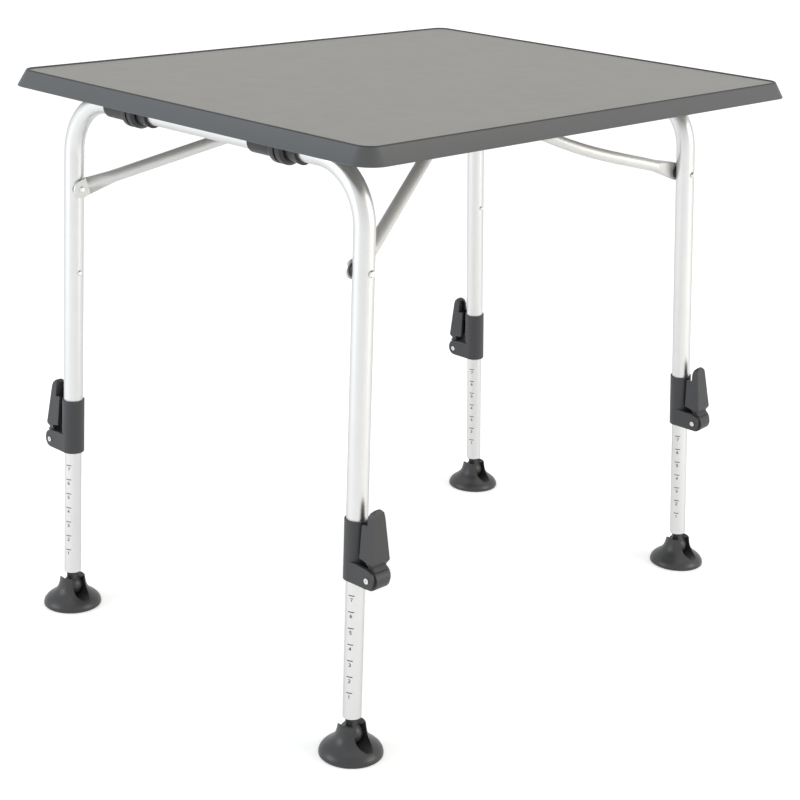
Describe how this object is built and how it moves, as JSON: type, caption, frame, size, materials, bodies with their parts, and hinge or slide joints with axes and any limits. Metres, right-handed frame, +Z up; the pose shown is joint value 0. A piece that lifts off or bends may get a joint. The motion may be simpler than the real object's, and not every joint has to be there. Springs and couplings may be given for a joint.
{
  "type": "camping table",
  "caption": "Folding camping table: board in a dark edge, two fold-away tube leg frames with braces, telescopic clamped legs and ball-jointed feet.",
  "frame": {"origin": "on the floor under the middle of the whole table's bounding box", "axes": "+X along the table's long side, +Y along its short side, +Z up"},
  "size_m": [0.8312, 0.6376, 0.724],
  "materials": {
    "board": "light grey laminate with a fine grain",
    "edge": "dark grey moulded plastic",
    "black_plastic": "black moulded plastic",
    "grey_plastic": "dark grey moulded plastic",
    "foot_plastic": "black moulded plastic, slightly shiny",
    "tube": "satin anodised",
    "brace_tube": "satin anodised",
    "steel": "plated rivets and screws"
  },
  "bodies": {
    "top": {"table_panel": "board", "edge_frame": "edge", "pivot_bracket_1": "black_plastic", "pivot_bracket_2": "black_plastic", "pivot_bracket_3": "black_plastic", "pivot_bracket_4": "black_plastic", "brace_catch_a": "black_plastic", "brace_catch_b": "black_plastic", "mount_screws": "steel"},
    "frame_a": {"leg_frame_a": "tube", "brace_spacers_a": "black_plastic", "brace_rivets_a": "steel", "stop_rivets_a": "steel", "clamp_body_1": "grey_plastic", "brake_shoe_1": "black_plastic", "lever_pin_1": "steel", "clamp_body_2": "grey_plastic", "brake_shoe_2": "black_plastic", "lever_pin_2": "steel"},
    "frame_b": {"leg_frame_b": "tube", "brace_spacers_b": "black_plastic", "brace_rivets_b": "steel", "stop_rivets_b": "steel", "clamp_body_3": "grey_plastic", "brake_shoe_3": "black_plastic", "lever_pin_3": "steel", "clamp_body_4": "grey_plastic", "brake_shoe_4": "black_plastic", "lever_pin_4": "steel"},
    "brace_a": {"brace_a": "brace_tube"},
    "brace_b": {"brace_b": "brace_tube"},
    "inner_1": {"inner_leg_1": "tube", "glide_bush_1": "black_plastic"},
    "stem_1": {"ball_stem_1": "black_plastic"},
    "foot_1": {"foot_1": "foot_plastic"},
    "lever_1": {"clamp_lever_1": "grey_plastic"},
    "inner_2": {"inner_leg_2": "tube", "glide_bush_2": "black_plastic"},
    "stem_2": {"ball_stem_2": "black_plastic"},
    "foot_2": {"foot_2": "foot_plastic"},
    "lever_2": {"clamp_lever_2": "grey_plastic"},
    "inner_3": {"inner_leg_3": "tube", "glide_bush_3": "black_plastic"},
    "stem_3": {"ball_stem_3": "black_plastic"},
    "foot_3": {"foot_3": "foot_plastic"},
    "lever_3": {"clamp_lever_3": "grey_plastic"},
    "inner_4": {"inner_leg_4": "tube", "glide_bush_4": "black_plastic"},
    "stem_4": {"ball_stem_4": "black_plastic"},
    "foot_4": {"foot_4": "foot_plastic"},
    "lever_4": {"clamp_lever_4": "grey_plastic"}
  },
  "joints": [
    {"name": "frame_a_fold", "type": "hinge", "parent": "top", "child": "frame_a", "pos_m": [-0.35776, 0, 0.6925], "axis": [0, -1, 0], "range_deg": [0, 87]},
    {"name": "brace_a_fold", "type": "hinge", "parent": "frame_a", "child": "brace_a", "pos_m": [-0.35797, 0, 0.575], "axis": [0, 1, 0], "range_deg": [0, 113.6]},
    {"name": "frame_b_fold", "type": "hinge", "parent": "top", "child": "frame_b", "pos_m": [0.32624, 0, 0.6925], "axis": [0, 1, 0], "range_deg": [0, 80]},
    {"name": "brace_b_fold", "type": "hinge", "parent": "frame_b", "child": "brace_b", "pos_m": [0.33451, 0, 0.585], "axis": [0, -1, 0], "range_deg": [0, 112.5]},
    {"name": "leg_1_slide", "type": "slide", "parent": "frame_a", "child": "inner_1", "axis": [0.0017, 0.0131, 0.9999], "range_m": [-0.0175, 0.15]},
    {"name": "lever_1_open", "type": "hinge", "parent": "frame_a", "child": "lever_1", "pos_m": [-0.35857, -0.29708, 0.22841], "axis": [1, 0, -0.0017], "range_deg": [0, 110]},
    {"name": "stem_1_spin", "type": "hinge", "parent": "inner_1", "child": "stem_1", "pos_m": [-0.35893, -0.26823, 0.0255], "axis": [0.0017, 0.0131, 0.9999], "continuous": true},
    {"name": "foot_1_tilt", "type": "hinge", "parent": "stem_1", "child": "foot_1", "pos_m": [-0.35893, -0.26823, 0.0255], "axis": [1, 0, 0], "range_deg": [-15, 15]},
    {"name": "leg_2_slide", "type": "slide", "parent": "frame_a", "child": "inner_2", "axis": [0.0017, -0.0131, 0.9999], "range_m": [-0.0175, 0.15]},
    {"name": "lever_2_open", "type": "hinge", "parent": "frame_a", "child": "lever_2", "pos_m": [-0.35857, 0.29708, 0.22841], "axis": [-1, 0, 0.0017], "range_deg": [0, 110]},
    {"name": "stem_2_spin", "type": "hinge", "parent": "inner_2", "child": "stem_2", "pos_m": [-0.35893, 0.26823, 0.0255], "axis": [0.0017, -0.0131, 0.9999], "continuous": true},
    {"name": "foot_2_tilt", "type": "hinge", "parent": "stem_2", "child": "foot_2", "pos_m": [-0.35893, 0.26823, 0.0255], "axis": [1, 0, 0], "range_deg": [-15, 15]},
    {"name": "leg_3_slide", "type": "slide", "parent": "frame_b", "child": "inner_3", "axis": [-0.0767, 0.0131, 0.997], "range_m": [-0.0175, 0.15]},
    {"name": "lever_3_open", "type": "hinge", "parent": "frame_b", "child": "lever_3", "pos_m": [0.36195, -0.2291, 0.22841], "axis": [0.9971, 0, 0.0767], "range_deg": [0, 110]},
    {"name": "stem_3_spin", "type": "hinge", "parent": "inner_3", "child": "stem_3", "pos_m": [0.37756, -0.20026, 0.0255], "axis": [-0.0767, 0.0131, 0.997], "continuous": true},
    {"name": "foot_3_tilt", "type": "hinge", "parent": "stem_3", "child": "foot_3", "pos_m": [0.37756, -0.20026, 0.0255], "axis": [1, 0, 0], "range_deg": [-15, 15]},
    {"name": "leg_4_slide", "type": "slide", "parent": "frame_b", "child": "inner_4", "axis": [-0.0767, -0.0131, 0.997], "range_m": [-0.0175, 0.15]},
    {"name": "lever_4_open", "type": "hinge", "parent": "frame_b", "child": "lever_4", "pos_m": [0.36195, 0.2291, 0.22841], "axis": [-0.9971, 0, -0.0767], "range_deg": [0, 110]},
    {"name": "stem_4_spin", "type": "hinge", "parent": "inner_4", "child": "stem_4", "pos_m": [0.37756, 0.20026, 0.0255], "axis": [-0.0767, -0.0131, 0.997], "continuous": true},
    {"name": "foot_4_tilt", "type": "hinge", "parent": "stem_4", "child": "foot_4", "pos_m": [0.37756, 0.20026, 0.0255], "axis": [1, 0, 0], "range_deg": [-15, 15]}
  ],
  "couplings": [
    {"joint": "brace_a_fold", "follows": "frame_a_fold", "ratio": 1.3},
    {"joint": "brace_b_fold", "follows": "frame_b_fold", "ratio": 1.4}
  ]
}
